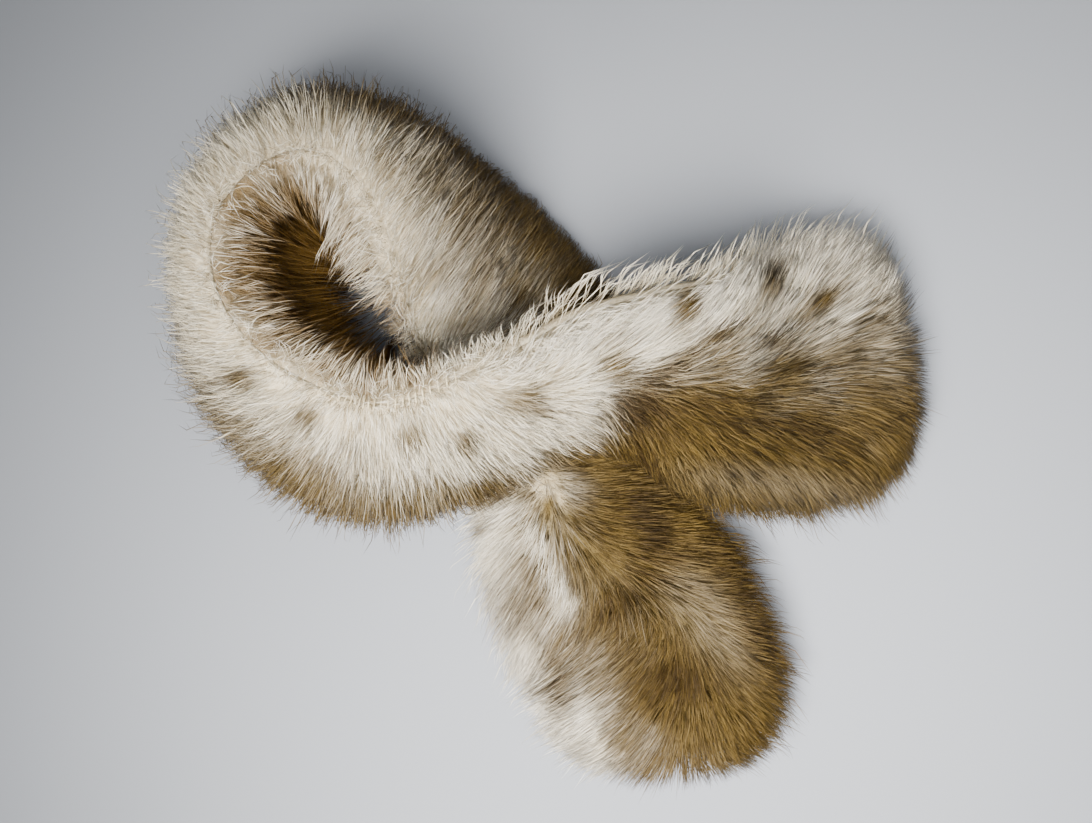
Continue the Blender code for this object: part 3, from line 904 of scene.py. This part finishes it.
def area_light(name, position, aim, size, spread, power, colour):
    """A square soft light at a place in millimetres from the photo's middle, turned towards another."""
    light = bpy.data.lights.new(name, "AREA")
    light.size = size * MM
    light.spread = np.radians(spread)
    light.energy = power
    light.color = srgb(colour)[:3]
    thing = bpy.data.objects.new(name, light)
    bpy.context.scene.collection.objects.link(thing)
    start, end = (to_frame(np.array(p, float)) for p in (position, aim))
    thing.location = start
    thing.rotation_euler = mathutils.Vector(end - start).to_track_quat("-Z", "Y").to_euler()
    return thing


def stage_and_camera():
    """The camera straight above the photo's middle, a floor, and soft light from the lower left."""
    camera = bpy.data.objects.new("camera", bpy.data.cameras.new("camera"))
    bpy.context.scene.collection.objects.link(camera)
    camera.data.sensor_width = 36.0
    camera.data.lens = camera.data.sensor_width * CAMERA_HEIGHT / FIELD_WIDTH
    camera.location = to_frame(np.array([0.0, 0.0, CAMERA_HEIGHT]))
    bpy.context.scene.camera = camera

    mesh = bpy.data.meshes.new("floor")
    corners = [(x * FLOOR_REACH, y * FLOOR_REACH, -FLOOR_DROP) for x, y in ((-1, -1), (1, -1), (1, 1), (-1, 1))]
    mesh.from_pydata(corners, [], [(0, 1, 2, 3)])
    mesh.materials.append(paper_floor())
    floor = bpy.data.objects.new("floor", mesh)
    bpy.context.scene.collection.objects.link(floor)

    for name, settings in LIGHTS.items():
        area_light(name, *settings)
    world = bpy.data.worlds.new("room light")
    world.use_nodes = True
    background = world.node_tree.nodes["Background"]
    background.inputs["Color"].default_value = srgb(ROOM_LIGHT[0])
    background.inputs["Strength"].default_value = ROOM_LIGHT[1]
    bpy.context.scene.world = world


# The wrap

# Each layer of hair: its name, the shares of the way round that it covers, how many locks it has, how many hairs
# are in a lock, how many points are on a hair, how its length and height compare with the comb's and the pile's,
# and half its thickness in millimetres. A real hair is about a third as thick, which wouldn't show.
HAIR = {
    "over_tail_outer": (
        ("coat", (0, 1), 1500, 6, 4, 1.35, 1.0, 0.135),
        ("fill", (0, 1), 2200, 8, 3, 1.1, 0.94, 0.16),
    ),
    "neck_loop_outer": (
        ("coat", (0, 1), 1350, 6, 4, 1.35, 1.0, 0.135),
        ("fill", (0, 1), 2000, 8, 3, 1.1, 0.94, 0.16),
        ("seam", (0.97, 1), 220, 6, 3, 1.0, 1.0, 0.15),
    ),
    "under_tail_outer": (
        ("coat", (0, 1), 1250, 6, 4, 1.35, 1.0, 0.135),
        ("fill", (0, 1), 1900, 8, 3, 1.1, 0.94, 0.16),
    ),
    "over_tail_inner": (("coat", (0, 1), 420, 6, 3, 1.2, 1.0, 0.22),),
    "neck_loop_inner": (
        ("coat", (0, 1), 2900, 8, 3, 1.3, 1.0, 0.15),
        ("seam", (0.97, 1), 220, 6, 3, 1.0, 1.0, 0.15),
    ),
    "under_tail_inner": (("coat", (0, 1), 340, 6, 3, 1.2, 1.0, 0.22),),
}

# The outer coat of the loop is made in two halves, which meet at this row, to keep each mesh small
LOOP_HALVED = 15

# The rows between which the stitches show
STITCHED = (8, 10.8)


def main():
    """The six pelts, each with its hair, and the seam's thread."""
    stage_and_camera()
    hair_material = {
        "outer": guard_hair("guard hair", TAN_HAIR["outer"]),
        "inner": guard_hair("inner guard hair with painted light", TAN_HAIR["inner"]),
    }
    wool_material = {
        "outer": underfur("underfur", TAN_WOOL["outer"]),
        "inner": underfur("inner underfur with painted light", TAN_WOOL["inner"]),
    }
    for stretch, (first, last) in STRETCHES.items():
        for face in ("outer", "inner"):
            node = f"{stretch}_{face}"
            body = pelt(f"{node}_pelt", first, last, face)
            body.data.materials.append(wool_material[face])
            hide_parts(node)
            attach(body, "root")
            for kind, *layer in HAIR[node]:
                halves = node == "neck_loop_outer" and kind != "seam"
                parts = [(first, last, "")]
                if halves:
                    parts = [(first, LOOP_HALVED, "near_"), (LOOP_HALVED, last, "far_")]
                for start, stop, part in parts:
                    fur = hair(f"{node}_{part}{kind}", start, stop, face, kind == "seam", *layer)
                    fur.data.materials.append(hair_material[face])
                    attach(fur, "root")
            if node == "neck_loop_outer":
                seam_thread(*STITCHED)


main()
